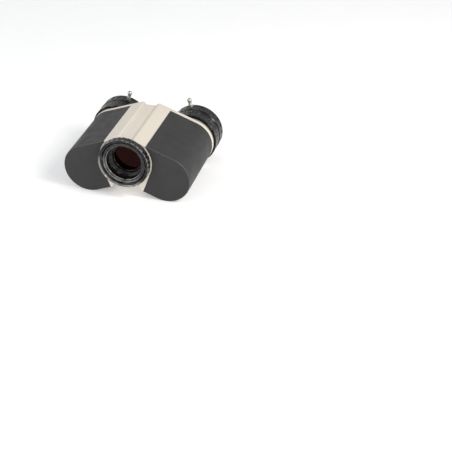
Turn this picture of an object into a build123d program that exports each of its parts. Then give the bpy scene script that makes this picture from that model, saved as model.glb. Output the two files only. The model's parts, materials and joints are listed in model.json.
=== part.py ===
from build123d import *
import math
import os

# Binocular viewing head for a telescope: two prism housings hinged on the telescope axis, with a
# bayonet nose on one end and two eyepiece holders on the other. Millimetres and degrees.
# +Y runs along the hinge from the telescope end to the eyepiece end, +Z is up and +X is to the right
# seen from the telescope end. The origin is on the hinge axis, in the plane of the body's front face.
# The head is modelled at its widest eyepiece spacing, with both halves drooping equally.

os.makedirs("parts", exist_ok=True)

# ---- driving dimensions ----
reach = 40.0                    # hinge axis to each eyepiece axis
widest_spacing = 75.0           # between the eyepiece axes, as modelled
closest_spacing = 56.0          # between the eyepiece axes, folded
lobe_radius = 23.2              # half the height of each housing
plate_radius = 23.35            # rear plates stand slightly proud
body_length = 77.2              # front face to rear face
plate_front = 73.1              # rear plates start here
armour = 1.4                    # thickness of the rubber armour
seat = 0.05                     # gap between pieces that are seated on each other
run = 0.08                      # radial clearance of running fits

open_angle = math.degrees(math.acos(widest_spacing / 2 / reach))
closed_angle = math.degrees(math.acos(closest_spacing / 2 / reach))
fold_range = 2 * (closed_angle - open_angle)

# housing sections, in the (outward, upward normal) coordinates of each half
facet_edge = 12.5               # painted top facet ends and the armour starts
crescent_radius = 25.2          # painted front crescent round the nose
core_radius = lobe_radius - armour - seat
cavity_radius = 19.6
front_wall = 3.6                # back of the front wall
fold_gap = 0.3                  # half the gap between the halves when fully folded
inner_slope = 27.0              # fall of each half's upper inner edge towards the hinge, in degrees
top_rounding = 1.6              # rounding of that edge
foot_rounding = 0.8             # rounding of the long lower corner of each half

# hinge, radii about the hinge axis
barrel_radius = 21.2
barrel_bore = 19.0
barrel_front = 4.2
barrel_back = 75.0
channel_floor = 19.9            # height of the shallow channel along the top
channel_half = 4.4              # half the width of its floor
hub_fixed = barrel_radius + seat
hub_moving = barrel_radius + 0.15
hoop_outer = 20.9
journal_radius = 19.5
hoop_bore = journal_radius + run
carrier_radius = 17.87
carrier_bore = 16.2
carrier_front = 33.8
carrier_back = 68.2
bush_bore = carrier_radius + run

# optics
prism = 22.0                    # section of every prism
splitter_front = 11.0
rhomboid_front = 39.0
neck_half = 13.4                # half height of the moving half's neck
neck_front = 37.2
neck_back = 62.8

# eyepiece holders, radii about each eyepiece axis
socket_radius = 15.93           # takes 31.75 mm eyepiece barrels
holder_radius = 19.17
base_radius = 23.0
base_tube_radius = 20.4
grip_radius = 25.3
light_bore = 14.4               # hole for the light in each rear plate
base_screw_circle = 16.8
holder_front = 80.6             # front end of the sliding holder at rest
holder_travel = 4.0             # how far the holder slides back
lever_y = 98.0
lever_lean = {1: 32.0, -1: 34.5}    # from each half's upper normal towards the hinge
lever_turn = 35.0
ring_turn = 45.0                # travel of the nose lock ring

# screws
screw_radius = 1.0
screw_hole = screw_radius + seat
small_screw_radius = 0.6
small_screw_hole = small_screw_radius + seat
cradle_screw_floor = -21.2      # lower end of the cradle screws' holes


def out_of(side):
    """Unit vector that runs outward along one half; side is 1 on the right and -1 on the left."""
    angle = math.radians(open_angle)
    return Vector(side * math.cos(angle), 0, -math.sin(angle))


def up_of(side):
    """Unit normal of one half's upper surface."""
    angle = math.radians(open_angle)
    return Vector(side * math.sin(angle), 0, math.cos(angle))


def at(side, s, h, y):
    """Point s outward, h along the upper normal and y back."""
    return out_of(side) * s + up_of(side) * h + Vector(0, y, 0)


def section_plane(side, y):
    """Cross-section of one half at y: local x runs outward and local y is the upper normal."""
    return Plane(origin=(0, y, 0), x_dir=out_of(side), z_dir=(0, -side, 0))


def cross_plane(y):
    """Upright cross-section at y: local x is +X and local y is +Z."""
    return Plane(origin=(0, y, 0), x_dir=(1, 0, 0), z_dir=(0, -1, 0))


def plan_plane(side):
    """Plane through the hinge axis and one eyepiece axis: local x runs outward, local y is +Y."""
    return Plane(origin=(0, 0, 0), x_dir=out_of(side), z_dir=up_of(side) * side)


def floor_plane(side, h):
    """Plane parallel to plan_plane, h above it."""
    return Plane(origin=at(side, 0, h, 0), x_dir=out_of(side), z_dir=up_of(side) * side)


def back(side, length):
    """Extrusion that carries a section_plane sketch towards +Y."""
    return -side * length


def up(side, height):
    """Extrusion that carries a floor_plane sketch along the upper normal."""
    return side * height


def turned(points, centre=Vector(0, 0, 0)):
    """Closed outline of (radius, y) points beside the axis through centre, ready to revolve."""
    with BuildSketch(Plane(origin=centre, x_dir=(1, 0, 0), z_dir=(0, 0, 1))) as outline:
        with BuildLine():
            Polyline(*points, close=True)
        make_face()
    return outline.sketch


def rectangle(y_front, y_back, inner, outer):
    """Corners of a plain ring's section."""
    return [(inner, y_front), (outer, y_front), (outer, y_back), (inner, y_back)]


def thread_grooves(radius, y_start, pitch, turns, depth):
    """Points of a row of V grooves cut into a bore, from y_start backwards."""
    points = []
    for turn in range(turns):
        y = y_start + turn * pitch
        points += [(radius, y), (radius + depth, y + pitch / 2)]
    points.append((radius, y_start + turns * pitch))
    return points


def half_section(plane, radius, hub):
    """One half's whole cross-section outside the hub circle, down to the fold line."""
    fold = math.radians(closed_angle)
    foot = (fold_gap + radius * math.sin(fold)) / math.cos(fold)
    slope = math.radians(90 - inner_slope - open_angle)
    slope_run = 6.0
    inner_top = (-slope_run * math.sin(slope), radius - slope_run * math.cos(slope))
    inner_foot = (fold_gap / math.cos(fold), 0)
    with BuildSketch(plane) as section:
        with BuildLine():
            Polyline((reach, radius), (0, radius), inner_top, inner_foot, (foot, -radius), (reach, -radius))
            ThreePointArc((reach, -radius), (reach + radius, 0), (reach, radius))
        make_face()
        fillet(section.vertices().sort_by_distance((0, radius))[0], top_rounding)
        fillet(section.vertices().sort_by_distance((foot, -radius))[0], foot_rounding)
        Circle(hub, mode=Mode.SUBTRACT)
    return section.sketch


def armour_section(plane, radius, edge, crescent):
    """The part of a half's cross-section that lies under the armour."""
    arc_start = math.degrees(math.acos(edge / crescent))
    with BuildSketch(plane) as section:
        with BuildLine():
            Line((edge, radius), (edge, crescent * math.sin(math.radians(arc_start))))
            CenterArc((0, 0), crescent, 0, arc_start)
            Polyline((crescent, 0), (crescent, -radius), (reach, -radius))
            ThreePointArc((reach, -radius), (reach + radius, 0), (reach, radius))
            Line((reach, radius), (edge, radius))
        make_face()
    return section.sketch


def core_section(plane, radius):
    """The inner casting under the armour."""
    joint = crescent_radius - 1.3
    inner_side = [(11.4, radius), (21.1, 12), (joint, 0), (joint, -radius)]
    with BuildSketch(plane) as section:
        with BuildLine():
            Polyline((reach, radius), *inner_side, (reach, -radius))
            ThreePointArc((reach, -radius), (reach + radius, 0), (reach, radius))
        make_face()
    return section.sketch


def cavity_section(plane, radius):
    """The room for the prisms."""
    with BuildSketch(plane) as section:
        with BuildLine():
            Polyline((reach, radius), (17, radius), (24, 15.2), (24, -15.2), (29, -radius), (reach, -radius))
            ThreePointArc((reach, -radius), (reach + radius, 0), (reach, radius))
        make_face()
    return section.sketch


def clear_of_hub(edge):
    """True for an edge of a half that doesn't lie on the hub circle."""
    middle = edge @ 0.5
    return math.hypot(middle.X, middle.Z) > hub_moving + seat


def circles(plane, places, radius):
    """Equal circles on one plane."""
    with BuildSketch(plane) as section:
        with Locations(*places):
            Circle(radius)
    return section.sketch


def box_section(plane, x_low, x_high, y_low, y_high):
    """A rectangle between two corners."""
    with BuildSketch(plane) as section:
        with Locations(((x_low + x_high) / 2, (y_low + y_high) / 2)):
            Rectangle(x_high - x_low, y_high - y_low)
    return section.sketch


def peg(origin, direction, radius, length, mode=Mode.ADD):
    """A cylinder that starts at origin and runs along direction."""
    with Locations(Plane(origin=origin, z_dir=direction)):
        Cylinder(radius, length, align=(Align.CENTER, Align.CENTER, Align.MIN), mode=mode)


# =====================================================================================
# Hinge: a barrel fixed to the right half, and a carrier tube of the left half inside it
# =====================================================================================

neck_corner = math.degrees(math.asin(neck_half / barrel_bore))
window_margin = 1.4
window_start = 180 + open_angle
window_sweep = neck_corner + window_margin + fold_range

barrel_screw_places = [(height, y) for height in (-13.0, 13.0) for y in (16.0, 54.0)]
barrel_screw_seat = 24.0
inward = out_of(1) * -1

with BuildPart() as hinge_barrel:
    revolve(
        turned(
            [
                (18.15, barrel_front),
                (barrel_radius, barrel_front),
                (barrel_radius, barrel_back),
                (barrel_bore, barrel_back),
                (barrel_bore, 10.4),
                (18.15, 10.4),
            ]
        ),
        axis=Axis.Y,
    )
    channel_top = barrel_radius + 1
    channel_reach = channel_half + (channel_top - channel_floor) / math.tan(math.radians(inner_slope))
    with BuildSketch(cross_plane(0)):
        with BuildLine():
            Polyline(
                (-channel_half, channel_floor),
                (channel_half, channel_floor),
                (channel_reach, channel_top),
                (-channel_reach, channel_top),
                close=True,
            )
        make_face()
    extrude(amount=-body_length, mode=Mode.SUBTRACT)
    with BuildSketch(cross_plane(neck_front - 0.3)) as window:
        with BuildLine():
            start = Vector(30, 0, 0).rotate(Axis.Z, window_start)
            finish = Vector(30, 0, 0).rotate(Axis.Z, window_start + window_sweep)
            Line((0, 0), (start.X, start.Y))
            CenterArc((0, 0), 30, window_start, window_sweep)
            Line((finish.X, finish.Y), (0, 0))
        make_face()
    window_length = neck_back - neck_front + 0.6
    extrude(amount=-window_length, mode=Mode.SUBTRACT)
    window_half = neck_half + 0.4
    extrude(
        box_section(section_plane(-1, neck_front - 0.3), 5, 25, -window_half, window_half),
        amount=back(-1, window_length),
        mode=Mode.SUBTRACT,
    )
    light_half = prism / 2 + 0.4
    extrude(
        box_section(section_plane(1, splitter_front - 0.2), 5, 25, -light_half, light_half),
        amount=back(1, prism + 0.4),
        mode=Mode.SUBTRACT,
    )
    for height, y in barrel_screw_places:
        peg(at(1, barrel_screw_seat, height, y), inward, screw_hole, 8.9, Mode.SUBTRACT)
hinge_barrel.part.label = "hinge_barrel"
export_step(hinge_barrel.part, "parts/hinge_barrel.step")

with BuildPart() as barrel_screws:
    for height, y in barrel_screw_places:
        peg(at(1, barrel_screw_seat, height, y), inward, screw_radius, 8.7)
        peg(at(1, barrel_screw_seat, height, y), out_of(1), 1.9, 1.5)
        peg(at(1, barrel_screw_seat + 0.7, height, y), out_of(1), 0.75, 1.5, Mode.SUBTRACT)
barrel_screws.part.label = "barrel_screws"
export_step(barrel_screws.part, "parts/barrel_screws.step")

for bush_name, bush_front, bush_back in (("front", 33.9, 36.7), ("rear", 64.0, 68.0)):
    with BuildPart() as hinge_bush:
        revolve(turned(rectangle(bush_front, bush_back, bush_bore, barrel_bore - seat)), axis=Axis.Y)
    hinge_bush.part.label = f"hinge_bush_{bush_name}"
    export_step(hinge_bush.part, f"parts/hinge_bush_{bush_name}.step")

with BuildPart() as hinge_cone_washer:
    revolve(turned([(16.4, 68.4), (17.8, 68.8), (17.8, 69.1), (16.4, 68.7)]), axis=Axis.Y)
hinge_cone_washer.part.label = "hinge_cone_washer"
export_step(hinge_cone_washer.part, "parts/hinge_cone_washer.step")

with BuildPart() as hinge_rear_cap:
    cap_radius = 17.4
    revolve(
        turned(
            [
                (0, 69.3),
                (barrel_bore - seat, 69.3),
                (barrel_bore - seat, 71.0),
                (cap_radius, 71.0),
                (cap_radius, 73.9),
                (cap_radius - 0.6, 74.5),
                (9.0, 74.5),
                (8.4, 73.7),
                (0, 73.7),
            ]
        ),
        axis=Axis.Y,
    )
    extrude(circles(cross_plane(76), [(-12.5, 0), (12.5, 0)], 1.1), amount=3.6, mode=Mode.SUBTRACT)
hinge_rear_cap.part.label = "hinge_rear_cap"
export_step(hinge_rear_cap.part, "parts/hinge_rear_cap.step")

carrier_screw_places = [(height, y) for height in (-12.35, 12.35) for y in (44.0, 56.0)]

with BuildPart() as hinge_carrier:
    revolve(turned(rectangle(carrier_front, carrier_back, carrier_bore, carrier_radius)), axis=Axis.Y)
    extrude(
        box_section(section_plane(-1, rhomboid_front - 0.3), 5, 25, -prism / 2 - 0.3, prism / 2 + 0.3),
        amount=back(-1, prism + 0.6),
        mode=Mode.SUBTRACT,
    )
    for height, y in carrier_screw_places:
        peg(at(-1, 10.0, height, y), out_of(-1), screw_hole, 2.25, Mode.SUBTRACT)
        peg(at(-1, 10.0, height, y), out_of(-1), small_screw_hole, 9.0, Mode.SUBTRACT)
hinge_carrier.part.label = "hinge_carrier"
export_step(hinge_carrier.part, "parts/hinge_carrier.step")

with BuildPart() as carrier_screws:
    for height, y in carrier_screw_places:
        peg(at(-1, 10.9, height, y), out_of(-1), screw_radius, 1.3)
        peg(at(-1, 10.9, height, y), out_of(-1), small_screw_radius, 7.8)
carrier_screws.part.label = "carrier_screws"
export_step(carrier_screws.part, "parts/carrier_screws.step")

# =====================================================================================
# Nose: bayonet tube with its split collar, lock ring and entrance window
# =====================================================================================

lock_screw_angles = [18, 138, 258]
lock_screw_y = -2.05
slot_end_margin = 3.2           # each slot runs on past its screw's travel, in degrees
collar_bore = 17.0
tube_radius = 20.3
tube_front = -5.0

with BuildPart() as nose_flange:
    revolve(
        turned(
            [
                (18.2, tube_front),
                (tube_radius - 0.3, tube_front),
                (tube_radius, tube_front + 0.3),
                (tube_radius, 0),
                (journal_radius, 0),
                (journal_radius, 4.15),
                (18.1, 4.15),
                (18.1, 10.3),
                (13.4, 10.3),
                (13.4, 9.9),
                (15.3, 9.9),
                (15.3, 5.6),
            ]
            + thread_grooves(16.6, 5.2, -0.75, 5, 0.42)
            + [(16.6, 0.75), (18.2, 0.75)]
        ),
        axis=Axis.Y,
    )
    for angle in lock_screw_angles:
        first = math.radians(angle + slot_end_margin)
        slot_plane = Plane(
            origin=(0, 0, 0),
            x_dir=(math.cos(first), 0, math.sin(first)),
            z_dir=(-math.sin(first), 0, math.cos(first)),
        )
        revolve(
            box_section(slot_plane, 17.5, 22, lock_screw_y - 0.95, lock_screw_y + 0.95),
            axis=Axis.Y,
            revolution_arc=ring_turn + 2 * slot_end_margin,
            mode=Mode.SUBTRACT,
        )
nose_flange.part.label = "nose_flange"
export_step(nose_flange.part, "parts/nose_flange.step")

with BuildPart() as nose_split_collar:
    revolve(
        turned(
            [
                (collar_bore + 0.4, -4.6),
                (18.1, -4.6),
                (18.1, 0.6),
                (collar_bore, 0.6),
                (collar_bore, -4.2),
            ]
        ),
        axis=Axis.Y,
    )
    extrude(box_section(cross_plane(-6), -0.5, 0.5, -19, -16), amount=-8, mode=Mode.SUBTRACT)
nose_split_collar.part.label = "nose_split_collar"
export_step(nose_split_collar.part, "parts/nose_split_collar.step")

with BuildPart() as nose_lock_ring:
    ring_front = -7.0
    ring_back = -0.35
    ring_radius = 24.2
    ring_lip = ring_radius - 0.7
    grip_count = 30
    ring_bore = tube_radius + run
    revolve(
        turned(
            [
                (ring_lip - 1.2, ring_front + 1.2),
                (ring_lip, ring_front),
                (ring_lip + 0.2, ring_front),
                (ring_radius, ring_front + 0.6),
                (ring_radius, ring_back - 0.5),
                (ring_radius - 0.5, ring_back),
                (ring_bore, ring_back),
                (ring_bore, -3.5),
            ]
            + thread_grooves(21.0, -3.8, -0.75, 2, 0.4)
            + [(21.4, ring_front + 1.2)]
        ),
        axis=Axis.Y,
    )
    with BuildSketch(cross_plane(ring_front - 1)) as grips:
        with PolarLocations(ring_radius + 0.75, grip_count):
            Circle(1.35)
    extrude(amount=-9, mode=Mode.SUBTRACT)
    for angle in lock_screw_angles:
        turn = math.radians(angle)
        peg((0, lock_screw_y, 0), (math.cos(turn), 0, math.sin(turn)), 0.85, 30, Mode.SUBTRACT)
nose_lock_ring.part.label = "nose_lock_ring"
export_step(nose_lock_ring.part, "parts/nose_lock_ring.step")

with BuildPart() as nose_lock_screws:
    screw_start = 18.15
    screw_end = 23.4
    for angle in lock_screw_angles:
        turn = math.radians(angle)
        outward = Vector(math.cos(turn), 0, math.sin(turn))
        foot_point = outward * screw_start + Vector(0, lock_screw_y, 0)
        head_point = outward * (screw_end - 0.9) + Vector(0, lock_screw_y, 0)
        peg(foot_point, outward, 0.8, screw_end - screw_start)
        with BuildSketch(Plane(origin=head_point, z_dir=outward)):
            RegularPolygon(0.42, 6)
        extrude(amount=2, mode=Mode.SUBTRACT)
nose_lock_screws.part.label = "nose_lock_screws"
export_step(nose_lock_screws.part, "parts/nose_lock_screws.step")

with BuildPart() as nose_retaining_ring:
    revolve(
        turned([(13.5, 5.8), (15.0, 5.8), (15.2, 6.0), (15.2, 7.3), (13.2, 7.3), (13.2, 6.1)]),
        axis=Axis.Y,
    )
    extrude(box_section(cross_plane(4), -16, 16, -0.5, 0.5), amount=-2.6, mode=Mode.SUBTRACT)
nose_retaining_ring.part.label = "nose_retaining_ring"
export_step(nose_retaining_ring.part, "parts/nose_retaining_ring.step")

with BuildPart() as entrance_window:
    revolve(turned([(0, 7.5), (14.7, 7.5), (15.0, 7.8), (15.0, 9.5), (14.7, 9.8), (0, 9.8)]), axis=Axis.Y)
entrance_window.part.label = "entrance_window"
export_step(entrance_window.part, "parts/entrance_window.step")

# =====================================================================================
# Beam splitter on the hinge axis, in its cradle
# =====================================================================================

half = prism / 2
splitter_back = splitter_front + prism
cement = 0.03

with BuildPart() as beamsplitter_front_prism:
    with BuildSketch(plan_plane(1)):
        with BuildLine():
            Polyline(
                (-half + cement, splitter_front),
                (half, splitter_front),
                (half, splitter_back - cement),
                close=True,
            )
        make_face()
    extrude(amount=half, both=True)
beamsplitter_front_prism.part.label = "beamsplitter_front_prism"
export_step(beamsplitter_front_prism.part, "parts/beamsplitter_front_prism.step")

with BuildPart() as beamsplitter_rear_prism:
    with BuildSketch(plan_plane(1)):
        with BuildLine():
            Polyline(
                (-half, splitter_front + cement),
                (half - cement, splitter_back),
                (-half, splitter_back),
                close=True,
            )
        make_face()
    extrude(amount=half, both=True)
beamsplitter_rear_prism.part.label = "beamsplitter_rear_prism"
export_step(beamsplitter_rear_prism.part, "parts/beamsplitter_rear_prism.step")

with BuildPart() as beamsplitter_cradle:
    with BuildSketch(section_plane(1, 10.6)):
        Circle(barrel_bore - seat)
        Rectangle(prism + 2 * seat, prism + 2 * seat, mode=Mode.SUBTRACT)
        with Locations((15, 0)):
            Rectangle(20, prism - 1.6, mode=Mode.SUBTRACT)
    extrude(amount=back(1, 22.7))
beamsplitter_cradle.part.label = "beamsplitter_cradle"
export_step(beamsplitter_cradle.part, "parts/beamsplitter_cradle.step")

# =====================================================================================
# The two halves
# =====================================================================================

plate_screw_places = [(13.6, 18.7), (24.6, -19.6), (52.4, 14.3), (52.4, -14.3)]
base_screw_places = []
for turn in (90, 210, 330):
    across = base_screw_circle * math.cos(math.radians(turn))
    along = base_screw_circle * math.sin(math.radians(turn))
    base_screw_places.append((reach + across, along))
cradle_screw_places = {1: [(40.0, 7.2), (40.0, 64.0)], -1: [(43.5, 39.5), (40.0, 64.0)]}
cradle_front = {1: 4.6, -1: 36.4}
clamp_screw_place = (52.95, 52.0)
boss_front = 56.0

for side, name in ((1, "right"), (-1, "left")):
    hub = hub_fixed if side == 1 else hub_moving
    axis_point = at(side, reach, 0, 0)
    eyepiece_axis = Axis(axis_point, (0, 1, 0))

    # ---- housing: a casting, painted where the armour leaves it bare ----
    with BuildPart() as housing:
        housing_back = plate_front - seat
        extrude(half_section(section_plane(side, 0), lobe_radius, hub), amount=back(side, housing_back))
        facet_front = at(side, facet_edge / 2, lobe_radius, 0)
        fillet(housing.edges().sort_by_distance(facet_front)[0], 0.5)
        armour_pocket = armour_section(
            section_plane(side, -1), lobe_radius + 1, facet_edge - seat, crescent_radius - seat
        )
        extrude(armour_pocket, amount=back(side, body_length), mode=Mode.SUBTRACT)
        core_front = armour + seat
        core = core_section(section_plane(side, core_front), core_radius)
        extrude(core, amount=back(side, housing_back - core_front))
        if side == -1:
            with BuildSketch(section_plane(side, 0.35)) as hoop:
                add(half_section(Plane.XY, lobe_radius, hoop_bore))
                Circle(22.2, mode=Mode.INTERSECT)
                Circle(hoop_outer)
                Circle(hoop_bore, mode=Mode.SUBTRACT)
            extrude(amount=back(side, 3.5))
            with BuildSketch(section_plane(side, neck_front)) as neck:
                with Locations((17, 0)):
                    Rectangle(16, 2 * neck_half)
                Circle(carrier_radius + seat, mode=Mode.SUBTRACT)
            extrude(amount=back(side, neck_back - neck_front))
        extrude(
            cavity_section(section_plane(side, front_wall), cavity_radius),
            amount=back(side, body_length),
            mode=Mode.SUBTRACT,
        )
        passage_front = splitter_front - 0.2 if side == 1 else rhomboid_front - 0.3
        passage_half = prism / 2 + 0.3
        extrude(
            box_section(section_plane(side, passage_front), 5, 28, -passage_half, passage_half),
            amount=back(side, prism + (0.4 if side == 1 else 0.6)),
            mode=Mode.SUBTRACT,
        )
        # bosses for the rear plate's outer screws
        extrude(
            circles(section_plane(side, boss_front), plate_screw_places[2:], 2.6),
            amount=back(side, housing_back - boss_front),
        )
        plate_holes = circles(section_plane(side, plate_front - 9), plate_screw_places, screw_hole)
        extrude(plate_holes, amount=back(side, 12), mode=Mode.SUBTRACT)
        cradle_holes = circles(floor_plane(side, cradle_screw_floor), cradle_screw_places[side], screw_hole)
        extrude(cradle_holes, amount=up(side, 6), mode=Mode.SUBTRACT)
        if side == 1:
            for height, y in barrel_screw_places:
                peg(at(1, barrel_screw_seat + 1, height, y), inward, screw_hole, 12, Mode.SUBTRACT)
        else:
            for height, y in carrier_screw_places:
                peg(at(-1, 10.0, height, y), out_of(-1), screw_hole, 2.25, Mode.SUBTRACT)
                peg(at(-1, 10.0, height, y), out_of(-1), small_screw_hole, 9.0, Mode.SUBTRACT)
    housing.part.label = f"{name}_housing"
    export_step(housing.part, f"parts/{name}_housing.step")

    # ---- rubber armour: a cup over the front and round the outside ----
    with BuildPart() as armour_cup:
        armour_back = plate_front - 0.25
        extrude(
            armour_section(section_plane(side, 0), lobe_radius, facet_edge, crescent_radius),
            amount=back(side, armour_back),
        )
        front_rim = armour_cup.faces().sort_by(Axis.Y)[0].edges()
        outer_rim = front_rim.filter_by(
            lambda edge: abs(abs((edge @ 0.5 - axis_point).dot(up_of(side))) - lobe_radius) < 0.1
            or (edge @ 0.5 - axis_point).dot(out_of(side)) > lobe_radius - 0.1
        )
        fillet(outer_rim, 1.1)
        extrude(
            armour_section(section_plane(side, armour), lobe_radius - armour, -5, crescent_radius - 12),
            amount=back(side, body_length),
            mode=Mode.SUBTRACT,
        )
    armour_cup.part.label = f"{name}_armour"
    export_step(armour_cup.part, f"parts/{name}_armour.step")

    # ---- rear plate ----
    base_thread_floor = plate_front + 0.8
    with BuildPart() as rear_plate:
        extrude(
            half_section(section_plane(side, plate_front), plate_radius, hub_moving),
            amount=back(side, body_length - plate_front),
        )
        rear_face = rear_plate.faces().sort_by(Axis.Y)[-1]
        fillet(rear_face.outer_wire().edges().filter_by(clear_of_hub), 0.7)
        front_face = rear_plate.faces().sort_by(Axis.Y)[0]
        chamfer(front_face.outer_wire().edges().filter_by(clear_of_hub), 0.2)
        for y, places, radius in (
            (plate_front - 1, [(reach, 0)], light_bore),
            (plate_front - 1, plate_screw_places, screw_hole),
            (body_length - 1.55, plate_screw_places, 1.95),
            (base_thread_floor, base_screw_places, screw_hole),
        ):
            holes = circles(section_plane(side, y), places, radius)
            extrude(holes, amount=back(side, 10), mode=Mode.SUBTRACT)
    rear_plate.part.label = f"{name}_rear_plate"
    export_step(rear_plate.part, f"parts/{name}_rear_plate.step")

    with BuildPart() as plate_screws:
        heads = circles(section_plane(side, body_length - 1.5), plate_screw_places, 1.9)
        extrude(heads, amount=back(side, 1.45))
        shanks = circles(section_plane(side, plate_front - 8.4), plate_screw_places, screw_radius)
        extrude(shanks, amount=back(side, 11.8))
        with BuildSketch(section_plane(side, body_length - 0.85)):
            with Locations(*plate_screw_places):
                RegularPolygon(0.9, 6)
        extrude(amount=back(side, 2), mode=Mode.SUBTRACT)
    plate_screws.part.label = f"{name}_rear_plate_screws"
    export_step(plate_screws.part, f"parts/{name}_rear_plate_screws.step")

    # ---- prism cradle, clamp and their screws ----
    plate_top = -half - 0.1
    plate_low = -half - 2.1
    post_half = 2.4
    with BuildPart() as prism_cradle:
        extrude(
            box_section(floor_plane(side, plate_low), 27.6, 49.6, cradle_front[side], 66.4),
            amount=up(side, plate_top - plate_low),
        )
        extrude(
            box_section(floor_plane(side, plate_low), 49.0, 53.9, 48.0, boss_front - 0.2),
            amount=up(side, plate_top - plate_low),
        )
        for post_s, post_y in cradle_screw_places[side]:
            overhang = post_s + post_half - reach
            post_floor = seat - math.sqrt(cavity_radius**2 - overhang**2)
            post = box_section(
                floor_plane(side, post_floor),
                post_s - post_half,
                post_s + post_half,
                post_y - post_half,
                post_y + post_half,
            )
            extrude(post, amount=up(side, plate_low - post_floor + 0.2))
        for places, radius in (
            (cradle_screw_places[side], screw_hole),
            ([clamp_screw_place], small_screw_hole),
        ):
            holes = circles(floor_plane(side, cradle_screw_floor), places, radius)
            extrude(holes, amount=up(side, 12), mode=Mode.SUBTRACT)
    prism_cradle.part.label = f"{name}_prism_cradle"
    export_step(prism_cradle.part, f"parts/{name}_prism_cradle.step")

    with BuildPart() as prism_clamp:
        with BuildSketch(section_plane(side, 48.6)):
            with BuildLine():
                Polyline(
                    (30, half + 0.1),
                    (51.1, half + 0.1),
                    (51.1, plate_top + 0.05),
                    (53.9, plate_top + 0.05),
                    (53.9, plate_top + 0.65),
                    (51.7, plate_top + 0.65),
                    (51.7, half + 0.7),
                    (30, half + 0.7),
                    close=True,
                )
            make_face()
        extrude(amount=back(side, 7.0))
        clamp_hole = circles(floor_plane(side, plate_top - 1), [clamp_screw_place], small_screw_hole)
        extrude(clamp_hole, amount=up(side, 3), mode=Mode.SUBTRACT)
    prism_clamp.part.label = f"{name}_prism_clamp"
    export_step(prism_clamp.part, f"parts/{name}_prism_clamp.step")

    with BuildPart() as cradle_screws:
        for height, places, radius, length in (
            (cradle_screw_floor + 0.3, cradle_screw_places[side], screw_radius, 10),
            (plate_top + 0.02, cradle_screw_places[side], 1.8, 1.3),
            (plate_low + 0.2, [clamp_screw_place], small_screw_radius, 3),
            (plate_top + 0.68, [clamp_screw_place], 1.05, 0.9),
        ):
            extrude(circles(floor_plane(side, height), places, radius), amount=up(side, length))
    cradle_screws.part.label = f"{name}_cradle_screws"
    export_step(cradle_screws.part, f"parts/{name}_cradle_screws.step")

    # ---- fixed base of the eyepiece holder, with its screws and guide pin ----
    guide_y = holder_front + 5.7
    guide_pin_radius = 0.9
    downward = up_of(side) * -1
    with BuildPart() as holder_base:
        revolve(
            turned(
                [
                    (13.4, 75.2),
                    (14.3, 75.2),
                    (14.3, body_length + seat),
                    (base_radius, body_length + seat),
                    (base_radius, 79.3),
                    (base_radius - 0.5, 79.8),
                    (base_tube_radius, 79.8),
                    (base_tube_radius, 88.6),
                    (holder_radius + run, 88.6),
                    (holder_radius + run, 79.7),
                    (13.4, 79.7),
                ],
                axis_point,
            ),
            axis=eyepiece_axis,
        )
        for y, radius in ((76, screw_hole), (78.6, 1.85)):
            extrude(
                circles(section_plane(side, y), base_screw_places, radius),
                amount=back(side, 6),
                mode=Mode.SUBTRACT,
            )
        peg(axis_point + Vector(0, guide_y, 0), downward, guide_pin_radius + seat, 24, Mode.SUBTRACT)
    holder_base.part.label = f"{name}_holder_base"
    export_step(holder_base.part, f"parts/{name}_holder_base.step")

    with BuildPart() as base_screws:
        shanks = circles(section_plane(side, base_thread_floor + 0.1), base_screw_places, screw_radius)
        extrude(shanks, amount=back(side, 4.8))
        heads = circles(section_plane(side, 78.65), base_screw_places, 1.8)
        extrude(heads, amount=back(side, 1.0))
        with BuildSketch(section_plane(side, 79.1)):
            with Locations(*base_screw_places):
                RegularPolygon(0.8, 6)
        extrude(amount=back(side, 2), mode=Mode.SUBTRACT)
    base_screws.part.label = f"{name}_base_screws"
    export_step(base_screws.part, f"parts/{name}_base_screws.step")

    with BuildPart() as guide_pin:
        peg(axis_point + Vector(0, guide_y, 0) + downward * 17.6, downward, guide_pin_radius, 2.75)
    guide_pin.part.label = f"{name}_guide_pin"
    export_step(guide_pin.part, f"parts/{name}_guide_pin.step")

    # ---- diopter ring: turns on the base and screws the holder in and out ----
    with BuildPart() as diopter_ring:
        revolve(
            turned(
                [
                    (base_tube_radius + run, 80.1),
                    (grip_radius - 0.9, 80.1),
                    (grip_radius - 0.2, 80.6),
                    (grip_radius - 0.2, 89.0),
                    (grip_radius - 0.9, 89.8),
                    (holder_radius + 0.12, 89.8),
                    (holder_radius + 0.12, 88.9),
                    (base_tube_radius + run, 88.9),
                ],
                axis_point,
            ),
            axis=eyepiece_axis,
        )
        with BuildSketch(section_plane(side, 82.4)):
            with Locations((reach, 0)):
                with PolarLocations(grip_radius + 0.75, 45):
                    Circle(1.25)
        extrude(amount=back(side, 4.8), mode=Mode.SUBTRACT)
    diopter_ring.part.label = f"{name}_diopter_ring"
    export_step(diopter_ring.part, f"parts/{name}_diopter_ring.step")

    # ---- eyepiece holder: slides on the guide pin ----
    lever_angle = math.radians(lever_lean[side])
    lever_direction = up_of(side) * math.cos(lever_angle) - out_of(side) * math.sin(lever_angle)
    slot_margin = 5.6
    slot_direction = lever_direction.rotate(Axis.Y, -side * slot_margin)
    flange_radius = grip_radius - 0.6
    with BuildPart() as eyepiece_holder:
        revolve(
            turned(
                [
                    (socket_radius + 0.5, holder_front),
                    (holder_radius - 0.3, holder_front),
                    (holder_radius, holder_front + 0.3),
                    (holder_radius, 90.2),
                    (flange_radius - 0.3, 90.2),
                    (flange_radius, 90.5),
                    (flange_radius, 92.0),
                    (flange_radius - 0.3, 92.3),
                    (holder_radius, 92.3),
                    (holder_radius, 103.2),
                    (holder_radius - 0.25, 103.45),
                    (17.4, 103.45),
                    (17.4, 93.5),
                    (socket_radius, 93.5),
                    (socket_radius, holder_front + 0.5),
                ],
                axis_point,
            ),
            axis=eyepiece_axis,
        )
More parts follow.
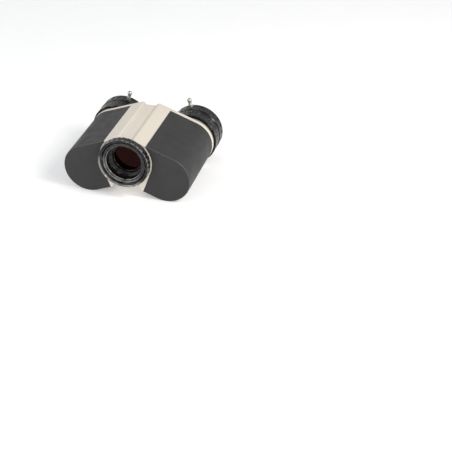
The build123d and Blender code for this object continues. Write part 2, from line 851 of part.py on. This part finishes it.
        # the guide pin's slot: the pin stands near its rear end at rest and near its front end when out
        pin_slot_width = 2 * guide_pin_radius + 0.2
        with BuildSketch(Plane(origin=axis_point + downward * 17.4, x_dir=(0, 1, 0), z_dir=downward)):
            with Locations((guide_y - holder_travel / 2, 0)):
                SlotOverall(holder_travel + pin_slot_width + 0.1, pin_slot_width)
        extrude(amount=3, mode=Mode.SUBTRACT)
        slot_plane = Plane(
            origin=axis_point,
            x_dir=slot_direction,
            z_dir=slot_direction.cross(Vector(0, 1, 0)),
        )
        revolve(
            box_section(slot_plane, 16.8, 21, lever_y - 1.7, lever_y + 1.7),
            axis=Axis(axis_point, (0, side, 0)),
            revolution_arc=lever_turn + 2 * slot_margin,
            mode=Mode.SUBTRACT,
        )
    eyepiece_holder.part.label = f"{name}_eyepiece_holder"
    export_step(eyepiece_holder.part, f"parts/{name}_eyepiece_holder.step")

    with BuildPart() as collet:
        revolve(
            turned(
                [(socket_radius, 93.7), (17.3, 93.7), (17.3, 101.3), (socket_radius, 101.3)],
                axis_point,
            ),
            axis=eyepiece_axis,
        )
        extrude(
            box_section(section_plane(side, 93), reach - 0.6, reach + 0.6, -18, -15),
            amount=back(side, 10),
            mode=Mode.SUBTRACT,
        )
    collet.part.label = f"{name}_collet"
    export_step(collet.part, f"parts/{name}_collet.step")

    with BuildPart() as end_ring:
        revolve(
            turned(
                [(16.1, 101.5), (17.35, 101.5), (17.35, 103.3), (16.5, 103.3), (16.1, 102.9)],
                axis_point,
            ),
            axis=eyepiece_axis,
        )
        extrude(
            box_section(section_plane(side, 102.5), reach - 18, reach + 18, -0.5, 0.5),
            amount=back(side, 2),
            mode=Mode.SUBTRACT,
        )
    end_ring.part.label = f"{name}_holder_end_ring"
    export_step(end_ring.part, f"parts/{name}_holder_end_ring.step")

    # ---- clamp ring and its lever: turn on the holder to grip the eyepiece ----
    with BuildPart() as clamp_ring:
        revolve(
            turned(
                [
                    (holder_radius + run, 92.6),
                    (grip_radius - 0.9, 92.6),
                    (grip_radius, 93.4),
                    (grip_radius, 102.8),
                    (grip_radius - 0.8, 103.7),
                    (20.4, 103.7),
                    (holder_radius + run, 102.9),
                ],
                axis_point,
            ),
            axis=eyepiece_axis,
        )
        with BuildSketch(section_plane(side, 94.8)):
            with Locations((reach, 0)):
                with PolarLocations(grip_radius + 1.1, 24, start_angle=90 + lever_lean[side] + 7.5):
                    Circle(1.7)
        extrude(amount=back(side, 6.6), mode=Mode.SUBTRACT)
        peg(axis_point + Vector(0, lever_y, 0), lever_direction, 1.55, 30, Mode.SUBTRACT)
    clamp_ring.part.label = f"{name}_clamp_ring"
    export_step(clamp_ring.part, f"parts/{name}_clamp_ring.step")

    with BuildPart() as clamp_lever:
        ball_radius = 2.4
        ball_centre = 32.4
        lever_neck = 1.75
        stem_top = ball_centre - math.sqrt(ball_radius**2 - lever_neck**2)
        lever_plane = Plane(
            origin=axis_point + Vector(0, lever_y, 0),
            x_dir=(0, 1, 0),
            z_dir=Vector(0, 1, 0).cross(lever_direction),
        )
        with BuildSketch(lever_plane):
            with BuildLine():
                Polyline(
                    (0, ball_centre + ball_radius),
                    (0, 17.45),
                    (1.5, 17.45),
                    (1.5, grip_radius + seat),
                    (2.0, grip_radius + seat),
                    (2.0, 28.4),
                    (lever_neck, 29.0),
                    (lever_neck, stem_top),
                )
                ball_top = (0, ball_centre + ball_radius)
                ThreePointArc((lever_neck, stem_top), (ball_radius, ball_centre), ball_top)
            make_face()
        revolve(axis=Axis(axis_point + Vector(0, lever_y, 0), lever_direction))
    clamp_lever.part.label = f"{name}_clamp_lever"
    export_step(clamp_lever.part, f"parts/{name}_clamp_lever.step")

# =====================================================================================
# Prisms of each half
# =====================================================================================

fold_front = reach - half
with BuildPart() as right_fold_prism:
    with BuildSketch(plan_plane(1)):
        with BuildLine():
            Polyline(
                (fold_front, splitter_front),
                (fold_front, splitter_back),
                (reach + half, splitter_back),
                close=True,
            )
        make_face()
    extrude(amount=half, both=True)
right_fold_prism.part.label = "right_fold_prism"
export_step(right_fold_prism.part, "parts/right_fold_prism.step")

with BuildPart() as compensator_block:
    block = box_section(section_plane(1, splitter_back + 0.6), fold_front, reach + half, -half, half)
    extrude(block, amount=back(1, 24.5))
    chamfer(compensator_block.edges().filter_by(Axis.Y), 0.4)
compensator_block.part.label = "compensator_block"
export_step(compensator_block.part, "parts/compensator_block.step")

with BuildPart() as rhomboid_prism:
    rhomboid_back = rhomboid_front + prism
    with BuildSketch(plan_plane(-1)):
        with BuildLine():
            Polyline(
                (-half, rhomboid_front),
                (fold_front, rhomboid_front),
                (reach + half, rhomboid_back),
                (half, rhomboid_back),
                close=True,
            )
        make_face()
    extrude(amount=half, both=True)
rhomboid_prism.part.label = "rhomboid_prism"
export_step(rhomboid_prism.part, "parts/rhomboid_prism.step")
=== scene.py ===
import json
import math

import bpy
from mathutils import Matrix, Vector


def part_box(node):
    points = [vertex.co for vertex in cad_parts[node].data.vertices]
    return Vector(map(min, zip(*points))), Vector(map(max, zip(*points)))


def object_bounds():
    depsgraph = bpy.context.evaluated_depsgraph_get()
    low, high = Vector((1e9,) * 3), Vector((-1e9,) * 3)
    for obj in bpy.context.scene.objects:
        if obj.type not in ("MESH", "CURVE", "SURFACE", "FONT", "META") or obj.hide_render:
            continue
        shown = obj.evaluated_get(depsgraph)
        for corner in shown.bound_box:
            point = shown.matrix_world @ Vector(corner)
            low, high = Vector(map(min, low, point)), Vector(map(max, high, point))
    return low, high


# Looks of the binocular viewing head: finishes, camera, studio light and floor. Everything is in
# metres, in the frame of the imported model. The hinge axis is the Y axis.

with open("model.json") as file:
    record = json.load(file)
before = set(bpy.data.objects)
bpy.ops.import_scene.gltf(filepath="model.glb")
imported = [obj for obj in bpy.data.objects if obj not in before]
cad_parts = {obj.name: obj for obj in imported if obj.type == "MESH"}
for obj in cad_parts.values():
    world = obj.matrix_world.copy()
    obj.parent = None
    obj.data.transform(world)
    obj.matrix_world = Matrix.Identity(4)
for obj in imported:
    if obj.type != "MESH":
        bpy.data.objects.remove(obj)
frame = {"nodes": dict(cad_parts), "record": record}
cad_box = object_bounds()
MM = 0.001

# ---- where things are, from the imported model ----
sockets = {mount["name"]: Vector(mount["pos_m"]) for mount in frame["record"]["mounts"]}
EYE_AXIS = sockets["right_eyepiece_socket"]     # the left one mirrors it

# ---- camera: place, direction and lens ----
CAMERA_PLACE = Vector((0.3248, -0.8374, 0.5061))
CAMERA_AZIMUTH = math.radians(15.377)
CAMERA_ELEVATION = math.radians(32.819)
CAMERA_ROLL = math.radians(0.11)
CAMERA_LENS = 90.22             # focal length in millimetres
SENSOR_WIDTH = 36.0             # in millimetres

# ---- studio ----
WALLS = 0.92                    # brightness of the light tent's walls
CEILING = 0.30                  # brightness of its ceiling
FRONT = 0.5                     # how much of that is left at its front
FLOOR_REACH = 4.0               # from the axis to each edge of the floor
FLOOR_GLOW = 0.30               # brightness of its own

# ---- fine structure of the finishes ----
EDGE_SAMPLES = 6                # rays with which a Bevel node rounds an edge
LATHE_PITCH = 0.45 * MM         # between the rings that a lathe leaves
SMALL_ROUNDING = 0.15 * MM      # rounding of small machined edges
RIM_FADE = 0.15 * MM            # width over which a rim's painted highlight fades out
# painted highlight on the nose ring's rims: its colour, and how metallic it is
RIM_HIGHLIGHT_TONE = (0.52, 0.51, 0.50, 1)
RIM_HIGHLIGHT_METALLIC = 0.35               # how metallic a rim is under its painted highlight
DUST = (0.5, 0.5, 0.5, 1)


# =====================================================================================
# Node materials
# =====================================================================================

class Finish:
    """A material built from nodes round one Principled shader."""

    def __init__(self, name, **constants):
        self.material = bpy.data.materials.new(name)
        self.material.use_nodes = True
        self.nodes = self.material.node_tree.nodes
        self.links = self.material.node_tree.links
        self.shader = self.nodes["Principled BSDF"]
        for socket, value in constants.items():
            self.shader.inputs[socket.replace("_", " ")].default_value = value
        self.place = self.nodes.new("ShaderNodeTexCoord").outputs["Object"]

    def add(self, kind, inputs, output=0, **settings):
        """A new node; inputs holds a value or another node's output for each socket."""
        node = self.nodes.new(kind)
        for name, value in settings.items():
            setattr(node, name, value)
        for socket, value in inputs.items():
            if isinstance(value, bpy.types.NodeSocket):
                self.links.new(value, node.inputs[socket])
            else:
                node.inputs[socket].default_value = value
        return node.outputs[output]

    def noise(self, size, detail=2.0):
        """Noise from 0 to 1 with blobs about size metres across."""
        inputs = {"Vector": self.place, "Scale": 1 / size, "Detail": detail}
        return self.add("ShaderNodeTexNoise", inputs)

    def cells(self, size):
        """Smooth rounded cells about size metres across."""
        inputs = {"Vector": self.place, "Scale": 1 / size}
        return self.add("ShaderNodeTexVoronoi", inputs, feature="SMOOTH_F1")

    def ramp(self, value, low, high, to_low=0.0, to_high=1.0):
        """value from low..high, smoothly to to_low..to_high."""
        inputs = {"Value": value, "From Min": low, "From Max": high}
        inputs.update({"To Min": to_low, "To Max": to_high})
        return self.add("ShaderNodeMapRange", inputs, interpolation_type="SMOOTHSTEP")

    def math(self, operation, first, second=0.0):
        """One step of arithmetic on values or outputs."""
        return self.add("ShaderNodeMath", {0: first, 1: second}, operation=operation)

    def blend(self, share, first, second):
        """Colour between first and second."""
        inputs = {"Factor": share, 6: first, 7: second}
        return self.add("ShaderNodeMix", inputs, output=2, data_type="RGBA")

    def rounded(self, radius):
        """Normals that round every sharp edge by radius."""
        return self.add("ShaderNodeBevel", {"Radius": radius}, samples=EDGE_SAMPLES)

    def edges(self, radius):
        """1 on sharp edges, 0 away from them."""
        geometry = self.nodes.new("ShaderNodeNewGeometry").outputs["Normal"]
        soft = self.rounded(radius)
        inputs = {0: soft, 1: geometry}
        along = self.add("ShaderNodeVectorMath", inputs, output=1, operation="DOT_PRODUCT")
        return self.ramp(along, 0.995, 0.90)

    def rim(self):
        """1 on rounded front and rear rims, where the normal is oblique to the Y axis."""
        apart = self.nodes.new("ShaderNodeSeparateXYZ")
        self.links.new(self.nodes.new("ShaderNodeNewGeometry").outputs["Normal"], apart.inputs[0])
        along = self.math("ABSOLUTE", apart.outputs["Y"])
        return self.math("MULTIPLY", self.ramp(along, 0.1, 0.45), self.ramp(along, 0.98, 0.8))

    def bump(self, height, depth, strength=1.0, normal=None):
        """A bump of depth metres on top of another normal."""
        inputs = {"Height": height, "Distance": depth, "Strength": strength}
        if normal is not None:
            inputs["Normal"] = normal
        return self.add("ShaderNodeBump", inputs)

    def radius_from(self, centre_x, centre_z):
        """Distance from an axis along Y; the same on both sides of the head."""
        apart = self.nodes.new("ShaderNodeSeparateXYZ")
        self.links.new(self.place, apart.inputs[0])
        x = self.math("SUBTRACT", self.math("ABSOLUTE", apart.outputs["X"]), centre_x)
        z = self.math("SUBTRACT", apart.outputs["Z"], centre_z)
        squares = self.math("ADD", self.math("MULTIPLY", x, x), self.math("MULTIPLY", z, z))
        return self.math("SQRT", squares), apart.outputs["Y"]

    def finish(self, **linked):
        """Links node outputs into the shader and gives back the material."""
        for socket, value in linked.items():
            self.links.new(value, self.shader.inputs[socket.replace("_", " ")])
        return self.material


def cream_enamel():
    """Stoved cream paint on a casting: faint orange peel, slow tone changes, rubbed edges."""
    f = Finish("cream_enamel", Coat_Weight=0.12, Coat_Roughness=0.3, Specular_IOR_Level=0.45)
    tone = f.noise(28 * MM, 3)
    paint = f.blend(tone, (0.735, 0.665, 0.565, 1), (0.785, 0.72, 0.62, 1))
    speck = f.ramp(f.noise(0.45 * MM, 3), 0.66, 0.74, 0, 0.10)
    paint = f.blend(speck, paint, (0.42, 0.37, 0.30, 1))
    rubbed = f.math("MULTIPLY", f.edges(0.5 * MM), f.ramp(f.noise(2.5 * MM, 4), 0.45, 0.65))
    paint = f.blend(f.math("MULTIPLY", rubbed, 0.5), paint, (0.88, 0.85, 0.78, 1))
    peel = f.bump(f.noise(0.9 * MM, 1.5), 0.02 * MM, 0.5, f.rounded(0.25 * MM))
    roughness = f.ramp(f.noise(5 * MM, 3), 0.3, 0.7, 0.36, 0.46)
    return f.finish(Base_Color=paint, Roughness=roughness, Normal=peel)


def armour_rubber():
    """Moulded rubber: a fine pebbled grain, matt; sharp edges lighter, partly rubbing and partly a
    painted highlight; rounded rims given a little polish and a painted highlight.
    """
    f = Finish("armour_rubber", Specular_IOR_Level=0.28)
    tone = f.noise(22 * MM, 4)
    rubber = f.blend(tone, (0.034, 0.033, 0.033, 1), (0.044, 0.042, 0.041, 1))
    dust = f.ramp(f.noise(0.5 * MM, 4), 0.62, 0.75, 0, 0.22)
    rubber = f.blend(dust, rubber, (0.10, 0.097, 0.093, 1))
    # sharp edges lighter: partly rubbing, partly a painted highlight
    rubbed = f.math("MULTIPLY", f.edges(0.7 * MM), f.ramp(f.noise(3 * MM, 4), 0.3, 0.6, 0.35, 0.9))
    rubber = f.blend(rubbed, rubber, (0.13, 0.13, 0.13, 1))
    # painted highlight: the rounded rims are lighter in colour; the lower roughness on them below
    # is real polish
    rim = f.math("MULTIPLY", f.rim(), f.ramp(f.noise(4 * MM, 3), 0.3, 0.6, 0.6, 1.0))
    rubber = f.blend(f.math("MULTIPLY", rim, 0.6), rubber, (0.11, 0.11, 0.11, 1))
    grain = f.bump(f.cells(0.55 * MM), 0.05 * MM, 0.55, f.rounded(0.3 * MM))
    grain = f.bump(f.noise(0.22 * MM, 2), 0.012 * MM, 0.6, grain)
    matt = f.ramp(f.noise(9 * MM, 3), 0.3, 0.7, 0.50, 0.62)
    roughness = f.math("SUBTRACT", matt, f.math("MULTIPLY", rim, 0.2))
    return f.finish(Base_Color=rubber, Roughness=roughness, Normal=grain)


def rim_highlights(f, radius, along, rims):
    """0 to 1 on the front rims where a highlight is painted.

    Each rim is its inner radius, outer radius, rear end, how strong its painted highlight is, and
    the share of that at the top, away from the lower-left side where the painted highlight is
    strongest.
    """
    inputs = {0: f.place, 1: HIGHLIGHT_SIDE}
    toward_highlight_side = f.add("ShaderNodeVectorMath", inputs, output=1, operation="DOT_PRODUCT")
    patchy = f.ramp(f.noise(5 * MM, 3), 0.35, 0.6, 0.5, 1.0)
    highlight_mask = 0.0
    for inner, outer, rear, amount, at_top in rims:
        inside = f.ramp(radius, inner - RIM_FADE, inner)
        outside = f.ramp(radius, outer + RIM_FADE, outer)
        band = f.math("MULTIPLY", inside, outside)
        band = f.math("MULTIPLY", band, f.ramp(along, rear + RIM_FADE, rear))
        low_side = f.ramp(toward_highlight_side, 0.1 * inner, 0.7 * inner, at_top * amount, amount)
        band = f.math("MULTIPLY", band, low_side)
        highlight_mask = f.math("MAXIMUM", highlight_mask, band)
    return f.math("MULTIPLY", highlight_mask, patchy)


def turned_metal(name, dark, light, worn_and_glint_tone, centre, roughness, wear_and_glint, metallic, shine=0.42, rims=()):
    """Anodised or uncoated metal with the fine rings that a lathe leaves round its axis; any rims
    given get a painted highlight.
    """
    f = Finish(name, Metallic=metallic, Specular_IOR_Level=shine)
    radius, along = f.radius_from(*centre)
    sweep = f.math("ADD", radius, along)
    wobble = f.math("MULTIPLY", f.noise(6 * MM, 2), 0.25 * MM)
    phase = f.math("MULTIPLY", f.math("ADD", sweep, wobble), 2 * math.pi / LATHE_PITCH)
    rings = f.math("SINE", phase)
    colour = f.blend(f.noise(3 * MM, 5), dark, light)
    # edges in the edge tone: abrasion, and on the black eyepiece rings, with their high share,
    # also painted highlight dashes
    speck = f.math("MULTIPLY", f.edges(0.5 * MM), f.ramp(f.noise(5 * MM, 3), 0.51, 0.60))
    colour = f.blend(f.math("MULTIPLY", speck, wear_and_glint), colour, worn_and_glint_tone)
    turned = f.bump(rings, 0.0015 * MM, 0.25, f.rounded(SMALL_ROUNDING))
    gloss = f.ramp(f.noise(2 * MM, 4), 0.3, 0.7, roughness - 0.06, roughness + 0.08)
    if not rims:
        return f.finish(Base_Color=colour, Roughness=gloss, Normal=turned)
    # painted highlight on the given rims: a lighter band, partly metallic so that it also reflects
    highlight_mask = rim_highlights(f, radius, along, rims)
    colour = f.blend(highlight_mask, colour, RIM_HIGHLIGHT_TONE)
    highlight_metallic = f.math("MULTIPLY", highlight_mask, RIM_HIGHLIGHT_METALLIC)
    return f.finish(Base_Color=colour, Metallic=highlight_metallic, Roughness=gloss, Normal=turned)


def plain_metal(name, dark, light, roughness, metallic=1.0):
    """Machined metal without rings: screws, springs and inner parts."""
    f = Finish(name, Metallic=metallic)
    colour = f.blend(f.noise(1.5 * MM, 5), dark, light)
    scratches = f.bump(f.noise(0.3 * MM, 4), 0.004 * MM, 0.6, f.rounded(SMALL_ROUNDING))
    gloss = f.ramp(f.noise(0.8 * MM, 4), 0.3, 0.7, roughness - 0.05, roughness + 0.1)
    return f.finish(Base_Color=colour, Roughness=gloss, Normal=scratches)


def chrome():
    """Polished plating with fine handling marks."""
    f = Finish("lever_chrome", Metallic=0.75)
    colour = f.blend(f.noise(2 * MM, 4), (0.50, 0.50, 0.46, 1), (0.62, 0.62, 0.57, 1))
    marks = f.bump(f.noise(0.35 * MM, 5), 0.003 * MM, 0.5, f.rounded(SMALL_ROUNDING))
    gloss = f.ramp(f.noise(1.2 * MM, 5), 0.35, 0.7, 0.26, 0.42)
    return f.finish(Base_Color=colour, Roughness=gloss, Normal=marks)


def glass(name, tint, reflection, smudge):
    """Polished coated glass with a trace of dust on it."""
    f = Finish(name, Transmission_Weight=0.92, IOR=1.52, Specular_Tint=reflection)
    colour = f.blend(f.ramp(f.noise(1.0 * MM, 4), 0.68, 0.8, 0, 0.25), tint, DUST)
    gloss = f.ramp(f.noise(7 * MM, 4), 0.4, 0.75, 0.01, smudge)
    return f.finish(Base_Color=colour, Roughness=gloss)


# axes of the turned pieces, as x and z
HUB = (0.0, 0.0)
EYE = (EYE_AXIS.x, EYE_AXIS.z)

# the lower-left side of the nose, where the painted highlights on its rims are strongest, and
# those rims, as rim_highlights() takes them
HIGHLIGHT_SIDE = (-0.45, 0.0, -0.89)
NOSE_RIMS = (
    (22.4 * MM, 23.6 * MM, -5.95 * MM, 0.6, 0.0),
    (23.75 * MM, 24.3 * MM, -6.1 * MM, 0.35, 1.0),
    (18.4 * MM, 20.0 * MM, -4.6 * MM, 0.35, 0.15),
    (16.9 * MM, 17.5 * MM, -4.0 * MM, 0.5, 0.6),
)

# dark tone, light tone and edge tone of each turned metal; the edge tone marks abrasion, and on
# the black eyepiece rings it also paints highlight dashes
BLACK = ((0.004, 0.004, 0.005, 1), (0.011, 0.010, 0.010, 1), (0.50, 0.47, 0.42, 1))
GREY = ((0.22, 0.21, 0.195, 1), (0.42, 0.40, 0.37, 1), (0.62, 0.60, 0.55, 1))
BRASS = ((0.55, 0.39, 0.16, 1), (0.72, 0.53, 0.25, 1), (0.80, 0.64, 0.36, 1))
BRONZE = ((0.42, 0.27, 0.13, 1), (0.56, 0.38, 0.2, 1), (0.7, 0.5, 0.3, 1))

# dark tone and light tone of each plain metal
INNER = ((0.015, 0.015, 0.016, 1), (0.04, 0.04, 0.04, 1))
SCREW = ((0.07, 0.07, 0.075, 1), (0.17, 0.165, 0.16, 1))
SPRING = ((0.42, 0.42, 0.43, 1), (0.58, 0.58, 0.58, 1))

# roughness, share of the edge tone (abrasion, and on the black eyepiece rings also painted
# highlight dashes), how metallic and how shiny each turned metal is, and for the nose ring its
# rims with painted highlights
# the high share of the edge tone here paints highlight dashes on the rings' edges besides abrasion
EYE_BLACK = dict(roughness=0.18, wear_and_glint=0.8, metallic=0.0, shine=0.24)
HUB_BLACK = dict(roughness=0.16, wear_and_glint=0.3, metallic=0.0, shine=0.35, rims=NOSE_RIMS)
BASE_GREY = dict(roughness=0.42, wear_and_glint=0.5, metallic=0.35)
COLLET_BRASS = dict(roughness=0.3, wear_and_glint=0.4, metallic=1.0)
BUSH_BRONZE = dict(roughness=0.34, wear_and_glint=0.4, metallic=1.0)

# tint, reflection and smudge of each glass
PRISM = dict(tint=(0.86, 0.93, 0.90, 1), reflection=(1, 1, 1, 1), smudge=0.05)
WINDOW = dict(tint=(0.03, 0.004, 0.003, 1), reflection=(0.26, 0.045, 0.04, 1), smudge=0.04)

finishes = {
    "cream_enamel": cream_enamel(),
    "armour_rubber": armour_rubber(),
    "black_anodised": turned_metal("black_anodised_eye", *BLACK, EYE, **EYE_BLACK),
    "black_hub": turned_metal("black_anodised_hub", *BLACK, HUB, **HUB_BLACK),
    "grey_anodised": turned_metal("grey_anodised", *GREY, EYE, **BASE_GREY),
    "collet_brass": turned_metal("collet_brass", *BRASS, EYE, **COLLET_BRASS),
    "bush_bronze": turned_metal("bush_bronze", *BRONZE, HUB, **BUSH_BRONZE),
    "inner_aluminium": plain_metal("inner_aluminium", *INNER, roughness=0.55, metallic=0.3),
    "screw_steel": plain_metal("screw_steel", *SCREW, roughness=0.32),
    "spring_steel": plain_metal("spring_steel", *SPRING, roughness=0.28),
    "lever_chrome": chrome(),
    "prism_glass": glass("prism_glass", **PRISM),
    "coated_glass": glass("coated_glass", **WINDOW),
}

# a black piece whose name starts so is turned about the hinge axis
ON_HUB = ("nose_", "hinge_")

for part in frame["record"]["subparts"]:
    node = frame["nodes"][part["node"]]
    slot_name = part["material_slot"]
    if slot_name == "black_anodised" and part["node"].startswith(ON_HUB):
        slot_name = "black_hub"
    for material_slot in node.material_slots:
        material_slot.material = finishes[slot_name]


# =====================================================================================
# Camera, floor and light
# =====================================================================================

def make_camera():
    """The camera at the place and direction given at the top."""
    data = bpy.data.cameras.new("camera")
    data.lens = CAMERA_LENS
    data.sensor_width = SENSOR_WIDTH
    data.clip_start = 0.01
    data.clip_end = 50
    camera = bpy.data.objects.new("camera", data)
    azimuth = Matrix.Rotation(CAMERA_AZIMUTH, 4, "Z")
    elevation = Matrix.Rotation(math.pi / 2 - CAMERA_ELEVATION, 4, "X")
    roll = Matrix.Rotation(CAMERA_ROLL, 4, "Z")
    camera.matrix_world = Matrix.Translation(CAMERA_PLACE) @ azimuth @ elevation @ roll
    bpy.context.scene.collection.objects.link(camera)
    bpy.context.scene.camera = camera


def make_floor():
    """A pale floor, tilted as the head rests: on its armour's front and on its diopter rings."""
    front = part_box("right_armour")[0]
    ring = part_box("right_diopter_ring")[0]
    tilt = (front.z - ring.z) / (ring.y - front.y)
    mesh = bpy.data.meshes.new("floor")
    low, high = -FLOOR_REACH, FLOOR_REACH
    square = ((low, low), (high, low), (high, high), (low, high))
    corners = [(x, y, front.z - tilt * (y - front.y)) for x, y in square]
    mesh.from_pydata(corners, [], [(0, 1, 2, 3)])
    floor = bpy.data.objects.new("floor", mesh)
    bpy.context.scene.collection.objects.link(floor)
    glow = {"Emission_Color": (1, 1, 1, 1), "Emission_Strength": FLOOR_GLOW}
    f = Finish("floor_card", Specular_IOR_Level=0.1, **glow)
    card = f.blend(f.noise(60 * MM, 3), (0.90, 0.90, 0.90, 1), (0.93, 0.93, 0.93, 1))
    fibre = f.bump(f.noise(0.6 * MM, 3), 0.02 * MM, 0.3)
    roughness = f.ramp(f.noise(20 * MM, 2), 0.3, 0.7, 0.7, 0.8)
    mesh.materials.append(f.finish(Base_Color=card, Roughness=roughness, Normal=fibre))


def make_light(name, place, target, size, power, colour=(1, 1, 1)):
    """A square soft box aimed at target."""
    data = bpy.data.lights.new(name, "AREA")
    data.shape = "SQUARE"
    data.size = size
    data.energy = power
    data.color = colour
    light = bpy.data.objects.new(name, data)
    light.location = place
    light.rotation_mode = "QUATERNION"
    light.rotation_quaternion = (Vector(target) - Vector(place)).to_track_quat("-Z", "Y")
    bpy.context.scene.collection.objects.link(light)


def make_world():
    """A light tent: bright low walls that fade to a dim ceiling and to a darker front."""
    world = bpy.data.worlds.new("studio")
    world.use_nodes = True
    nodes = world.node_tree.nodes
    links = world.node_tree.links
    direction = nodes.new("ShaderNodeSeparateXYZ")
    links.new(nodes.new("ShaderNodeTexCoord").outputs["Generated"], direction.inputs[0])

    def fade(axis, style, low, high, at_low, at_high):
        node = nodes.new("ShaderNodeMapRange")
        node.interpolation_type = style
        links.new(direction.outputs[axis], node.inputs["Value"])
        limits = {"From Min": low, "From Max": high, "To Min": at_low, "To Max": at_high}
        for socket, value in limits.items():
            node.inputs[socket].default_value = value
        return node.outputs["Result"]

    strength = nodes.new("ShaderNodeMath")
    strength.operation = "MULTIPLY"
    links.new(fade("Z", "SMOOTHSTEP", 0.3, 0.95, WALLS, CEILING), strength.inputs[0])
    links.new(fade("Y", "LINEAR", -1.0, 0.1, FRONT, 1.0), strength.inputs[1])
    background = nodes["Background"]
    background.inputs["Color"].default_value = (0.97, 0.985, 1.0, 1)
    links.new(strength.outputs["Value"], background.inputs["Strength"])
    bpy.context.scene.world = world


make_camera()
make_floor()
middle = (cad_box[0] + cad_box[1]) / 2
WARM = (1.0, 0.975, 0.94)
COOL = (0.95, 0.97, 1.0)
make_light("key", (0.67, -0.14, 0.66), middle, size=0.3, power=4.4, colour=WARM)
make_light("fill", (-0.67, -0.38, 0.48), middle, size=0.6, power=1.6, colour=COOL)
make_light("front", (-0.3, -0.9, 0.3), middle, size=0.5, power=0.8)
make_light("glint", (0.70, -0.47, 0.38), middle, size=0.12, power=1.3)
make_world()
bpy.context.scene.view_settings.view_transform = "Standard"
